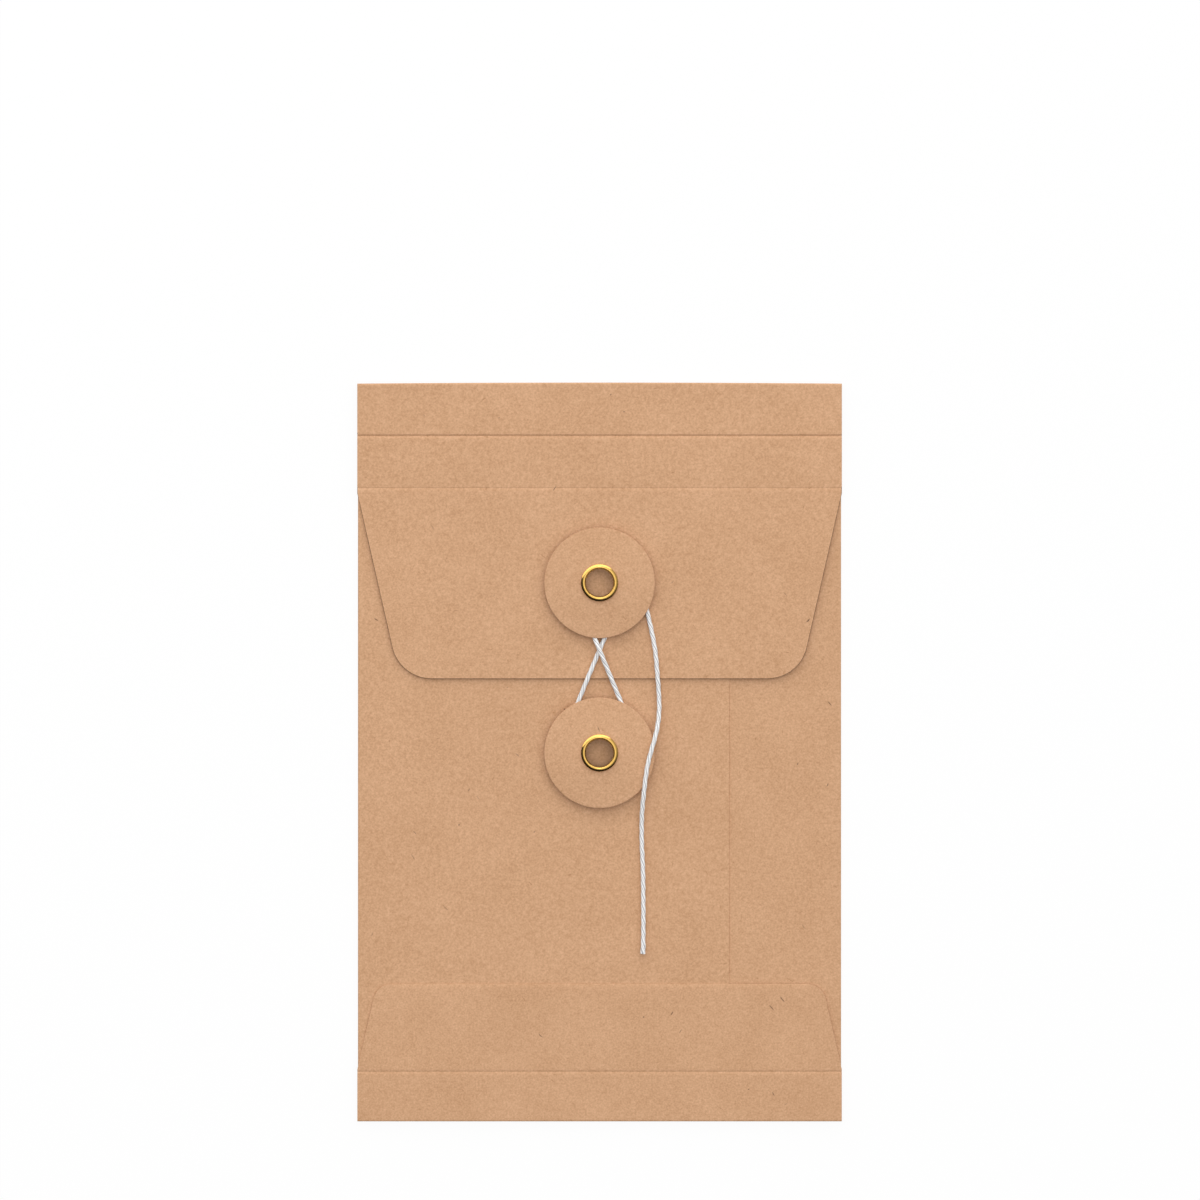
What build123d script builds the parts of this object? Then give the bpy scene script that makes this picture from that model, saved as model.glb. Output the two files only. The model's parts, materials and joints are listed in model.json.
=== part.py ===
import os
from math import cos, dist, pi, radians, sin, tan

from build123d import *

# String tie envelope lying on its back panel, millimetres. +X is right, +Y is towards the top
# fold and +Z is up out of the front. The origin is the middle of the back panel's underside.

# Sheet sizes
envelope_width = 114.0
envelope_height = 174.0
paper = 0.2
layer_gap = 0.05
glue_film = 0.05
pocket_room = 0.3
flap_room = 0.35
crease_gap = 0.1

# Creases and edges of the folded sheet
bottom_strip = 11.75
first_crease = 12.1
second_crease = 25.0
flap_length = 69.6
flap_shoulder = 0.9
flap_taper_angle = 12.0
flap_corner_radius = 9.5
bottom_flap_height = 32.5
bottom_flap_shoulder = 0.6
bottom_flap_taper_angle = 11.5
bottom_flap_corner_radius = 3.5
seam_x = 30.6
seam_overlap = 12.0
glue_margin = 1.5
bottom_glue_inset = 4.0
throat_drop = 1.0
gusset_top_drop = 0.5
gusset_foot_gap = 0.3
gusset_slack = 0.35

# Discs and eyelets
disc_radius = 13.0
disc_thickness = 0.5
disc_edge_round = 0.12
disc_spacing = 40.0
disc_inset = 22.6
string_room = 1.8
eyelet_bore_radius = 3.15
eyelet_wall = 0.25
eyelet_rim_width = 1.0
eyelet_collar = 0.2
eyelet_clinch_lip = 0.7
eyelet_clinch = 0.25
paper_hole_clearance = 0.05
disc_hole_clearance = 0.1
disc_play = 0.05

# String
string_diameter = 1.1
string_rest_gap = 0.05
crossing_gap = 0.45
tie_loop_slack = 0.4
tie_loop_exit_gap = 0.5
upper_loop_gap = 0.7
upper_loop_inset = 2.1
lower_loop_inset = 3.5
crossing_run = 14.0
tail_rest_drop = 4.9
tail_run = 36.6
gap_sample_step = 0.5
gap_skip_length = 4.0
tangent_share = 0.45

# Heights of the folded layers, from the table upwards
rear_leaf_level = paper + layer_gap
front_leaf_level = rear_leaf_level + paper + layer_gap
right_front_level = front_leaf_level + paper + pocket_room
seam_glue_level = right_front_level + paper
left_front_level = seam_glue_level + glue_film
left_front_top = left_front_level + paper
bottom_flap_level = left_front_top + glue_film
bottom_flap_top = bottom_flap_level + paper
flap_level = left_front_top + flap_room
flap_top = flap_level + paper
lower_disc_level = left_front_top + string_room
upper_disc_level = flap_top + string_room

# Places along the height of the envelope
half_width = envelope_width / 2
top_edge = envelope_height / 2
bottom_edge = -top_edge
top_fold_radius = flap_top / 2
bottom_fold_radius = bottom_flap_top / 2
top_bend_y = top_edge - top_fold_radius
bottom_bend_y = bottom_edge + bottom_fold_radius
bottom_crease_y = bottom_edge + bottom_strip
first_crease_y = top_edge - first_crease
second_crease_y = top_edge - second_crease
flap_edge_y = top_edge - flap_length
bottom_flap_top_y = bottom_edge + bottom_flap_height
throat_y = second_crease_y - throat_drop
upper_disc_y = flap_edge_y + disc_inset
lower_disc_y = upper_disc_y - disc_spacing
half_gap = crease_gap / 2

# Side gussets: two leaves a side, folded inwards between the back and the front
gusset_hinge_x = half_width - paper - layer_gap / 2
gusset_leaf_width = bottom_crease_y - bottom_bend_y + gusset_slack
gusset_crease_x = gusset_hinge_x - gusset_leaf_width
gusset_rear_top_y = top_bend_y - gusset_top_drop
gusset_middle_top_y = (gusset_rear_top_y + throat_y) / 2
gusset_foot_y = bottom_crease_y + gusset_foot_gap

eyelet_barrel_radius = eyelet_bore_radius + eyelet_wall
eyelet_rim_radius = eyelet_bore_radius + eyelet_rim_width
eyelet_clinch_radius = eyelet_barrel_radius + eyelet_clinch_lip
string_radius = string_diameter / 2
pieces = []


def keep(part, label):
    part.label = label
    pieces.append(part)


# A strip of paper across the whole width between two heights on the sheet
def paper_strip(label, low, high, level):
    with BuildPart() as strip:
        with BuildSketch(Plane.XY.offset(level)):
            with Locations((0, (low + high) / 2)):
                Rectangle(envelope_width, high - low)
        extrude(amount=paper)
    keep(strip.part, label)


# A half-round bend that joins two layers, bulging towards +Y or -Y from its flat ends
def paper_bend(label, bend_y, outer_radius, outward):
    with BuildPart() as bend:
        with BuildSketch(Plane.YZ):
            with Locations((bend_y, outer_radius)):
                Circle(outer_radius)
                Circle(outer_radius - paper, mode=Mode.SUBTRACT)
            with Locations((bend_y - outward * outer_radius / 2, outer_radius)):
                Rectangle(outer_radius, outer_radius * 2, mode=Mode.SUBTRACT)
        extrude(amount=half_width, both=True)
    keep(bend.part, label)


# A front panel between two sides, with a hole for an eyelet if it carries one
def front_panel(label, left, right, level, eyelet_y=None):
    low = bottom_crease_y + half_gap
    with BuildPart() as panel:
        with BuildSketch(Plane.XY.offset(level)):
            with Locations(((left + right) / 2, (low + throat_y) / 2)):
                Rectangle(right - left, throat_y - low)
            if eyelet_y is not None:
                with Locations((0, eyelet_y)):
                    Circle(eyelet_barrel_radius + paper_hole_clearance, mode=Mode.SUBTRACT)
        extrude(amount=paper)
    keep(panel.part, label)


# A flat pad of glue between two layers
def glue_pad(left, right, low, high, level, height):
    with BuildPart() as pad:
        with BuildSketch(Plane.XY.offset(level)):
            with Locations(((left + right) / 2, (low + high) / 2)):
                Rectangle(right - left, high - low)
        extrude(amount=height)
    return pad.part


# One leaf of a gusset, from its side edge to the inner crease, with a slanted top
def gusset_leaf(label, side, level, edge_top, crease_top):
    edge = side * (gusset_hinge_x - half_gap)
    crease = side * (gusset_crease_x + half_gap)
    with BuildPart() as leaf:
        with BuildSketch(Plane.XY.offset(level)):
            with BuildLine():
                Polyline(
                    (edge, gusset_foot_y),
                    (crease, gusset_foot_y),
                    (crease, crease_top),
                    (edge, edge_top),
                    close=True,
                )
            make_face()
        extrude(amount=paper)
    keep(leaf.part, label)


# A flap that narrows from the full width at its crease to rounded corners at its free edge
def tapered_flap(label, crease_y, shoulder_y, edge_y, taper_angle, corner_radius, level, eyelet_y=None):
    edge_half = half_width - abs(shoulder_y - edge_y) * tan(radians(taper_angle))
    with BuildPart() as flap:
        with BuildSketch(Plane.XY.offset(level)) as outline:
            with BuildLine():
                Polyline(
                    (-half_width, crease_y),
                    (-half_width, shoulder_y),
                    (-edge_half, edge_y),
                    (edge_half, edge_y),
                    (half_width, shoulder_y),
                    (half_width, crease_y),
                    close=True,
                )
            make_face()
            free_corners = outline.vertices().sort_by_distance((0, edge_y, level))[:2]
            fillet(free_corners, corner_radius)
            if eyelet_y is not None:
                with Locations((0, eyelet_y)):
                    Circle(eyelet_barrel_radius + paper_hole_clearance, mode=Mode.SUBTRACT)
        extrude(amount=paper)
    keep(flap.part, label)
    return edge_half


# A card disc with a running hole for its eyelet
def card_disc(label, centre_y, level):
    with BuildPart() as disc:
        with BuildSketch(Plane.XY.offset(level)):
            with Locations((0, centre_y)):
                Circle(disc_radius)
                Circle(eyelet_barrel_radius + disc_hole_clearance, mode=Mode.SUBTRACT)
        extrude(amount=disc_thickness)
        rims = disc.edges().filter_by(GeomType.CIRCLE).sort_by(SortBy.RADIUS)[-2:]
        fillet(rims, disc_edge_round)
    keep(disc.part, label)


# A brass eyelet: a clinched foot under the paper, a barrel and a rolled rim over the disc
def brass_eyelet(label, centre_y, paper_level, disc_level):
    foot = paper_level - eyelet_clinch
    rim_level = disc_level + disc_thickness + disc_play
    bead_level = rim_level + eyelet_collar
    bead_radius = eyelet_rim_width / 2
    axis_point = (0, centre_y, 0)
    with BuildPart() as eyelet:
        with BuildSketch(Plane(origin=axis_point, x_dir=(1, 0, 0), z_dir=(0, -1, 0))):
            with BuildLine():
                Polyline(
                    (eyelet_bore_radius, bead_level),
                    (eyelet_bore_radius, foot),
                    (eyelet_clinch_radius, foot),
                    (eyelet_clinch_radius, paper_level),
                    (eyelet_barrel_radius, paper_level),
                    (eyelet_barrel_radius, rim_level),
                    (eyelet_rim_radius, rim_level),
                    (eyelet_rim_radius, bead_level),
                )
                ThreePointArc(
                    (eyelet_rim_radius, bead_level),
                    (eyelet_rim_radius - bead_radius, bead_level + bead_radius),
                    (eyelet_bore_radius, bead_level),
                )
            make_face()
        revolve(axis=Axis(axis_point, (0, 0, 1)))
    keep(eyelet.part, label)


# Back panel and the bottom that folds between it and the front
paper_strip("back_panel", bottom_crease_y + half_gap, top_bend_y - half_gap, 0)
paper_strip("rear_bottom_strip", bottom_bend_y + half_gap, bottom_crease_y - half_gap, 0)
paper_bend("bottom_fold", bottom_bend_y, bottom_fold_radius, -1)
paper_strip(
    "front_bottom_strip", bottom_bend_y + half_gap, bottom_crease_y - half_gap, bottom_flap_level
)

# Front panels: the left one laps over the right one and is glued to it along the seam
seam_tuck_x = seam_x - seam_overlap
front_panel("left_front_panel", -half_width, seam_x, left_front_level, lower_disc_y)
front_panel("right_front_panel", seam_tuck_x, half_width, right_front_level)
seam_glue = glue_pad(
    seam_tuck_x + glue_margin,
    seam_x - glue_margin,
    bottom_crease_y + glue_margin,
    throat_y - glue_margin,
    seam_glue_level,
    glue_film,
)
keep(seam_glue, "seam_glue")

# Bottom flap, glued over both front panels
bottom_flap_half = tapered_flap(
    "bottom_flap",
    bottom_crease_y + half_gap,
    bottom_crease_y + bottom_flap_shoulder,
    bottom_flap_top_y,
    bottom_flap_taper_angle,
    bottom_flap_corner_radius,
    bottom_flap_level,
)
glue_low = bottom_crease_y + glue_margin
glue_high = bottom_flap_top_y - glue_margin
glue_side = bottom_flap_half - bottom_glue_inset
left_glue = glue_pad(
    -glue_side, seam_x - glue_margin, glue_low, glue_high, left_front_top, glue_film
)
right_glue = glue_pad(
    seam_x + glue_margin, glue_side, glue_low, glue_high, seam_glue_level, bottom_flap_level - seam_glue_level
)
keep(Compound(children=[left_glue, right_glue]), "bottom_flap_glue")

# Side gussets
for side, side_name in ((-1, "left"), (1, "right")):
    gusset_leaf(f"{side_name}_rear_gusset", side, rear_leaf_level, gusset_rear_top_y, gusset_middle_top_y)
    gusset_leaf(f"{side_name}_front_gusset", side, front_leaf_level, throat_y, gusset_middle_top_y)

# Closing flap: the round top fold, two creased strips and the tapered leaf
paper_bend("top_fold", top_bend_y, top_fold_radius, 1)
paper_strip("flap_upper_strip", first_crease_y + half_gap, top_bend_y - half_gap, flap_level)
paper_strip("flap_lower_strip", second_crease_y + half_gap, first_crease_y - half_gap, flap_level)
tapered_flap(
    "closing_flap",
    second_crease_y - half_gap,
    second_crease_y - flap_shoulder,
    flap_edge_y,
    flap_taper_angle,
    flap_corner_radius,
    flap_level,
    upper_disc_y,
)

# Discs on their eyelets
card_disc("upper_disc", upper_disc_y, upper_disc_level)
card_disc("lower_disc", lower_disc_y, lower_disc_level)
brass_eyelet("upper_eyelet", upper_disc_y, flap_level, upper_disc_level)
brass_eyelet("lower_eyelet", lower_disc_y, left_front_level, lower_disc_level)

# Heights of the string's middle on the flap, on the front, over itself and over the lower disc
on_flap = flap_top + string_rest_gap + string_radius
on_front = left_front_top + string_rest_gap + string_radius
over_string = on_flap + string_diameter + crossing_gap
over_disc = lower_disc_level + disc_thickness + string_rest_gap + string_radius

# Radii of the string's turns round the eyelets, under the discs
tie_loop_radius = eyelet_barrel_radius + string_radius + tie_loop_slack
tie_loop_exit_radius = tie_loop_radius + string_diameter + tie_loop_exit_gap
upper_loop_start_radius = tie_loop_radius + string_diameter + upper_loop_gap
upper_loop_end_radius = disc_radius - upper_loop_inset
lower_loop_radius = disc_radius - lower_loop_inset


# Points round an eyelet, with a radius that may grow from the first to the last
def round_points(centre_y, angles, radii, count, level):
    points = []
    for step in range(count):
        turn_share = step / (count - 1)
        angle = radians(angles[0] + (angles[1] - angles[0]) * turn_share)
        radius = radii[0] + (radii[1] - radii[0]) * turn_share
        points.append((radius * cos(angle), centre_y + radius * sin(angle), level))
    return points


# The route's hand-chosen points have an x from a base line, a y from the place that their function
# names, the level that the string lies on there and its rise above that level.


# From the lower disc's rim up, on a run that stretches to the gap between the two rims
def between_discs(base_x, points):
    stretch_share = (disc_spacing - disc_radius * 2) / crossing_run
    low = lower_disc_y + disc_radius
    return [(base_x + x, low + y * stretch_share, level + rise) for x, y, level, rise in points]


# From the middle of the lower disc, where the tail passes over its rim
def over_lower_disc(base_x, points):
    return [(base_x + x, lower_disc_y + y, level + rise) for x, y, level, rise in points]


# From the place below the lower disc where the tail comes to rest, on a run down to the bottom flap
def down_front(base_x, points):
    rest_y = lower_disc_y - disc_radius - tail_rest_drop
    stretch_share = (rest_y - bottom_flap_top_y) / tail_run
    return [(base_x + x, rest_y - y * stretch_share, level + rise) for x, y, level, rise in points]


# The string is caught round the upper eyelet, crosses to the left of the lower eyelet, goes round
# it, comes back over itself, goes round the upper eyelet and hangs down over the lower disc.
route = round_points(upper_disc_y, (328, 98), (tie_loop_radius, tie_loop_radius), 9, on_flap)
route += round_points(upper_disc_y, (68, -4), (tie_loop_radius, tie_loop_exit_radius), 4, on_flap)
route += between_discs(
    0,
    [
        (3.50, 19.5, on_flap, 0),
        (0.80, 13.1, on_flap, 0),
        (-1.70, 7.2, on_flap, 0),
        (-3.15, 3.7, on_flap, 0.12),
        (-4.85, -0.5, on_front, 0),
    ],
)
route += round_points(lower_disc_y, (172, 368), (lower_loop_radius, lower_loop_radius), 8, on_front)
route += between_discs(
    0,
    [
        (6.50, -4.5, on_front, 0),
        (4.72, -0.3, on_front, 0.10),
        (3.05, 3.8, on_flap, 0.15),
        (1.72, 7.0, on_flap, 0.75),
        (0.46, 10.1, over_string, 0),
        (-0.42, 12.2, over_string, 0),
        (-1.16, 14.0, on_flap, 0.38),
        (-2.50, 17.3, on_flap, 0),
    ],
)
route += round_points(
    upper_disc_y, (187, -14), (upper_loop_start_radius, upper_loop_end_radius), 8, on_flap
)
tail_start = len(route)
route += between_discs(
    disc_radius,
    [
        (-1.80, 20.2, on_flap, 0),
        (-0.80, 15.6, on_flap, 0),
        (0.10, 10.6, on_flap, 0),
        (0.55, 5.6, on_flap, 0.08),
        (1.00, 0.8, on_front, 0.40),
    ],
)
route += over_lower_disc(
    disc_radius,
    [
        (1.08, 9.4, on_front, 0.75),
        (0.60, 5.8, over_disc, -0.30),
        (-0.22, 2.6, over_disc, 0.10),
        (-1.55, -1.8, over_disc, 0.06),
        (-2.28, -6.0, over_disc, 0.06),
        (-2.70, -9.8, over_disc, 0.06),
        (-3.08, -13.6, on_front, 1.05),
    ],
)
route += down_front(
    disc_radius,
    [
        (-3.30, 0, on_front, 0.06),
        (-3.28, 4.7, on_front, 0),
        (-2.98, 10.1, on_front, 0),
        (-2.78, 16.3, on_front, 0),
        (-2.66, 23.1, on_front, 0),
        (-2.75, 29.6, on_front, 0),
    ],
)


# Radius of the arc at each corner: as large as the two runs beside it allow
def corner_radii(points):
    radii = []
    for before, corner, after in zip(points, points[1:], points[2:]):
        turn = (Vector(*corner) - Vector(*before)).get_angle(Vector(*after) - Vector(*corner))
        shorter_run = min(dist(before, corner), dist(corner, after))
        radii.append(shorter_run * tangent_share / tan(radians(turn) / 2))
    return radii


# A round string swept along straight runs and tangent arcs
def string_tube(label, points, radii):
    with BuildPart() as tube:
        with BuildLine():
            path = FilletPolyline(*points, radius=radii)
        with BuildSketch(Plane(origin=path @ 0, z_dir=path % 0)):
            Circle(string_radius)
        sweep()
    length = path.length
    print(f"{label}: {length:.1f} mm long, tightest radius {min(radii):.2f} mm")
    swept = pi * string_radius**2 * length
    print(f"{label}: volume {tube.part.volume:.2f}, section times length {swept:.2f} mm3")
    keep(tube.part, label)
    steps = int(length / gap_sample_step)
    return [tuple(path @ (step / steps)) for step in range(steps + 1)]


radii = corner_radii(route)
meeting = tuple((Vector(*route[tail_start - 1]) + Vector(*route[tail_start])) / 2)
samples = string_tube("string_winding", route[:tail_start] + [meeting], radii[: tail_start - 1])
samples += string_tube("string_tail", [meeting] + route[tail_start:], radii[tail_start - 1 :])
skip = int(gap_skip_length / gap_sample_step)
least_gap = min(
    dist(samples[first], samples[second]) - string_diameter
    for first in range(len(samples))
    for second in range(first + skip, len(samples))
)
print(f"string: least gap to itself {least_gap:.2f} mm")

os.makedirs("parts", exist_ok=True)
for piece in pieces:
    export_step(piece, f"parts/{piece.label}.step")
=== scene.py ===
import json
import math

import bmesh
import bpy
import numpy as np
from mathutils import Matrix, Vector, noise
from mathutils.geometry import delaunay_2d_cdt

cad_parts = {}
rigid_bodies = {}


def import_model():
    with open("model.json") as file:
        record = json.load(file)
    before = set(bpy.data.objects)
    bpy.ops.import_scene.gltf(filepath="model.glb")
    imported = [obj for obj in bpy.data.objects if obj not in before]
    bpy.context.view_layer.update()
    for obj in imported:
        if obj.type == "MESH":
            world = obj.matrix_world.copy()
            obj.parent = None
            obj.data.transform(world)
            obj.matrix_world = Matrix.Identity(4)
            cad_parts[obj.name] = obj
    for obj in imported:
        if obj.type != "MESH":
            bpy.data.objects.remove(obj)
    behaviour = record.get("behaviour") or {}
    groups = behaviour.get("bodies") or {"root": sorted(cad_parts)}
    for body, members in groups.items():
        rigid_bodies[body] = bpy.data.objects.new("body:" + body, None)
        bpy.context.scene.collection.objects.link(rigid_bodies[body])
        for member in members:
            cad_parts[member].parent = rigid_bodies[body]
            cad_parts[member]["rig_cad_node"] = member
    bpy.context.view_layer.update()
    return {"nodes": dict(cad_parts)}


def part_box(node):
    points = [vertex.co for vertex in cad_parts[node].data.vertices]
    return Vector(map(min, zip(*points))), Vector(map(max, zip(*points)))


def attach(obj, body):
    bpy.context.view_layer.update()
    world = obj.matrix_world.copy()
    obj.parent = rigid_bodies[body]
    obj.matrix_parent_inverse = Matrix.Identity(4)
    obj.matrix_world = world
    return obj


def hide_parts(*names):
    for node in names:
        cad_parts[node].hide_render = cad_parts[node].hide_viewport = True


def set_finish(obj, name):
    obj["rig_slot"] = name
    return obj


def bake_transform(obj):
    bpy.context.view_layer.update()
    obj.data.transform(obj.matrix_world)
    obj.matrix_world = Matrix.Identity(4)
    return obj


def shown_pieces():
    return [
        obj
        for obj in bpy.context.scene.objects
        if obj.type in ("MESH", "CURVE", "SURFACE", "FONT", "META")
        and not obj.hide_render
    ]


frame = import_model()
scene = bpy.context.scene
mm = 0.001

# Places on the folded sheet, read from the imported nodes
low = {name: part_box(name)[0] for name in frame["nodes"]}
high = {name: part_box(name)[1] for name in frame["nodes"]}
halfWidth = high["back_panel"].x
paper = high["back_panel"].z - low["back_panel"].z
topBend = low["top_fold"].y
bottomBend = high["bottom_fold"].y
firstCrease = (low["flap_upper_strip"].y + high["flap_lower_strip"].y) / 2
secondCrease = (low["flap_lower_strip"].y + high["closing_flap"].y) / 2
bottomCrease = (high["front_bottom_strip"].y + low["bottom_flap"].y) / 2
flapLevel, flapTop = low["closing_flap"].z, high["closing_flap"].z
frontTop = high["left_front_panel"].z
upperDiscY = (low["upper_disc"].y + high["upper_disc"].y) / 2
lowerDiscY = (low["lower_disc"].y + high["lower_disc"].y) / 2


def showObject(name, data):
    shown = bpy.data.objects.new(name, data)
    scene.collection.objects.link(shown)
    return shown


def newMesh(name, vertices, faces, material):
    mesh = bpy.data.meshes.new(name)
    mesh.from_pydata(vertices, [], faces)
    mesh.materials.append(material)
    return mesh


# Camera straight above, with a long lens
cameraSet = {"lens": 100.0, "sensor": 36.0, "near": 0.01, "middle": (0.10 * mm, 35.96 * mm), "frameWidth": 282.95 * mm}
photoCamera = showObject("photoCamera", bpy.data.cameras.new("photoCamera"))
photoCamera.data.lens = cameraSet["lens"]
photoCamera.data.sensor_width = cameraSet["sensor"]
photoCamera.data.clip_start = cameraSet["near"]
cameraHeight = cameraSet["frameWidth"] * cameraSet["lens"] / cameraSet["sensor"]
photoCamera.location = (*cameraSet["middle"], frontTop + cameraHeight)
scene.camera = photoCamera
print("camera ready")


# Node helpers: an output is linked to its socket, any other value is set on it
def feed(tree, sockets, values):
    for socket, value in zip(sockets, values):
        if hasattr(value, "links"):
            tree.links.new(value, socket)
        else:
            socket.default_value = value


def setInputs(tree, node, **inputs):
    feed(tree, [node.inputs[name.replace("_", " ")] for name in inputs], inputs.values())
    return node


def addNode(tree, kind, **inputs):
    return setInputs(tree, tree.nodes.new(f"ShaderNode{kind}"), **inputs)


def addSockets(tree, inputs, outputs):
    for direction, sockets in (("INPUT", inputs), ("OUTPUT", outputs)):
        for name, kind in sockets:
            tree.interface.new_socket(name, in_out=direction, socket_type=f"NodeSocket{kind}")


def mathNode(tree, operation, first, second=0.5):
    node = addNode(tree, "Math")
    node.operation = operation
    feed(tree, node.inputs, (first, second))
    return node.outputs[0]


def joinNodes(tree, operation, parts):
    joined = parts[0]
    for part in parts[1:]:
        joined = mathNode(tree, operation, joined, part)
    return joined


def rangeNode(tree, value, fromMin, fromMax, toMin=0.0, toMax=1.0):
    node = addNode(tree, "MapRange", Value=value, From_Min=fromMin, From_Max=fromMax, To_Min=toMin,
                   To_Max=toMax)
    node.interpolation_type = "SMOOTHSTEP"
    return node.outputs["Result"]


def mixColor(tree, factor, first, second, blendType="MIX"):
    node = addNode(tree, "Mix")
    node.data_type = "RGBA"
    node.blend_type = blendType
    feed(tree, (node.inputs[0], node.inputs[6], node.inputs[7]), (factor, first, second))
    return node.outputs[2]


def noiseNode(tree, vector, scale, detail, roughness):
    node = addNode(tree, "TexNoise", Vector=vector, Scale=scale, Detail=detail, Roughness=roughness)
    return node.outputs["Fac"]


def mappingNode(tree, vector, location=(0, 0, 0), rotation=(0, 0, 0), scale=(1, 1, 1), kind="POINT"):
    node = addNode(tree, "Mapping")
    node.vector_type = kind
    setInputs(tree, node, Vector=vector, Location=location, Rotation=rotation, Scale=scale)
    return node.outputs["Vector"]


def bumpNode(tree, height, strength, distance):
    return addNode(tree, "Bump", Height=height, Strength=strength, Distance=distance).outputs["Normal"]


# Paper stock, shared by the sheet and the card discs: cloudy pulp, crossing fibres and a few bark flecks.
# A noise is given as scale, detail and roughness, a fleck as turn, stretch, scale and reach
stockSet = {
    "pulp": ((70.0, 5.0, 0.6), (850.0, 2.0, 0.55), (2300.0, 2.0, 0.6)), "pulpShares": (0.75, 0.8, 2.3),
    "bendScale": 260.0, "bend": 0.0022, "fibreTurns": ((0.25, 0.0), (1.05, 3.1), (1.75, 7.7), (2.6, 12.9)),
    "fibreScale": (1 / 420, 1 / 3600, 1 / 900), "fibreNoise": (1.0, 1.0, 0.4), "darkFibre": (0.74, 0.84),
    "lightFibre": (0.30, 0.16, 0.0, 0.4), "fibreRelief": 0.6,
    "flecks": ((0.4, 1.5, 120.0, 0.036), (0.9, 4.5, 75.0, 0.055), (2.3, 5.0, 68.0, 0.06)),
    "fleckCore": 0.4, "fleckChance": (0.3, 1.0), "bark": (0.10, 0.055, 0.03, 1),
    "toneShares": (0.79, 1.0, 1.3), "roughness": (0.2, 0.9, 0.92, 0.78), "bump": (0.25, 0.06 * mm), "shine": 0.25,
    "amounts": {"Cloud": 0.315, "Fibre": 0.28, "Fleck": 0.9},
    # The last colour here is painted shade: a near-black brown for cut edges, which darkens the shadow line along a
    # flap's edge
    "kraft": (0.627, 0.363, 0.205, 1), "edgeShadowTone": (0.17, 0.095, 0.05, 1),
}


def paperStockGroup(settings):
    group = bpy.data.node_groups.new("paperStock", "ShaderNodeTree")
    amounts = ((name, "Float") for name in settings["amounts"])
    addSockets(group, (("Place", "Vector"), ("Stock Color", "Color"), *amounts),
               (("Color", "Color"), ("Height", "Float"), ("Roughness", "Float")))
    given = group.nodes.new("NodeGroupInput").outputs
    target = group.nodes.new("NodeGroupOutput")
    place = given["Place"]

    # Pulp clouds, from the broadest to the finest
    pulp = [noiseNode(group, place, *parts) for parts in settings["pulp"]]
    clouds = joinNodes(group, "ADD", [mathNode(group, "MULTIPLY", mathNode(group, "SUBTRACT", cloud), share)
                                      for cloud, share in zip(pulp, settings["pulpShares"])])

    # Long thin fibres in several directions, bent by a slow noise
    bend = addNode(group, "TexNoise", Vector=place, Scale=settings["bendScale"], Detail=1.0)
    bent = addNode(group, "Mix")
    bent.data_type = "VECTOR"
    feed(group, (bent.inputs[0], bent.inputs[4], bent.inputs[5]), (settings["bend"], place, bend.outputs["Color"]))
    bentPlace = bent.outputs[1]
    dark, light = [], []
    for turn, seed in settings["fibreTurns"]:
        streak = mappingNode(group, bentPlace, (seed, seed, 0), (0, 0, turn), settings["fibreScale"], "TEXTURE")
        lines = noiseNode(group, streak, *settings["fibreNoise"])
        dark.append(rangeNode(group, lines, *settings["darkFibre"]))
        light.append(rangeNode(group, lines, *settings["lightFibre"]))
    fibres = mathNode(group, "SUBTRACT", joinNodes(group, "MAXIMUM", light), joinNodes(group, "MAXIMUM", dark))

    # Bark flecks and short dark hairs: cells stretched along a direction, each with its own strength
    marks = []
    for turn, stretch, scale, reach in settings["flecks"]:
        turned = mappingNode(group, bentPlace, (turn * 3, turn, 0), (0, 0, turn), (1.0, 1 / stretch, 1.0), "TEXTURE")
        cells = addNode(group, "TexVoronoi", Vector=turned, Scale=scale, Randomness=1.0)
        chance = addNode(group, "SeparateColor", Color=cells.outputs["Color"])
        spot = rangeNode(group, cells.outputs["Distance"], reach, reach * settings["fleckCore"])
        strength = rangeNode(group, chance.outputs[0], *settings["fleckChance"])
        marks.append(mathNode(group, "MULTIPLY", spot, strength))
    fleckAmount = mathNode(group, "MULTIPLY", joinNodes(group, "MAXIMUM", marks), given["Fleck"])

    tone = mathNode(group, "ADD", mathNode(group, "MULTIPLY", clouds, given["Cloud"]),
                    mathNode(group, "MULTIPLY", fibres, given["Fibre"]))
    # Darker pulp is also a deeper brown, so blue changes more than red
    shade = addNode(group, "CombineColor")
    feed(group, shade.inputs, [mathNode(group, "ADD", mathNode(group, "MULTIPLY", tone, share), 1.0)
                               for share in settings["toneShares"]])
    toned = mixColor(group, 1.0, given["Stock Color"], shade.outputs[0], "MULTIPLY")
    relief = mathNode(group, "ADD", pulp[-1], mathNode(group, "MULTIPLY", fibres, settings["fibreRelief"]))
    setInputs(group, target, Color=mixColor(group, fleckAmount, toned, settings["bark"]), Height=relief,
              Roughness=rangeNode(group, relief, *settings["roughness"]))
    return group


paperStock = paperStockGroup(stockSet)


def startMaterial(name):
    material = bpy.data.materials.new(name)
    material.use_nodes = True
    tree = material.node_tree
    return material, tree, tree.nodes["Principled BSDF"]


def objectPlace(tree, location=(0, 0, 0)):
    coordinates = addNode(tree, "TexCoord")
    return mappingNode(tree, coordinates.outputs["Object"], location)


# Each layer has its own part of the paper's pattern
def paperMaterial(name, shift, stock=stockSet["kraft"]):
    material, tree, shader = startMaterial(name)
    stockNode = addNode(tree, "Group")
    stockNode.node_tree = paperStock
    setInputs(tree, stockNode, Place=objectPlace(tree, shift), Stock_Color=stock, **stockSet["amounts"])
    made = stockNode.outputs
    setInputs(tree, shader, Base_Color=made["Color"], Roughness=made["Roughness"], Specular_IOR_Level=stockSet["shine"],
              Normal=bumpNode(tree, made["Height"], *stockSet["bump"]))
    return material


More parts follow.
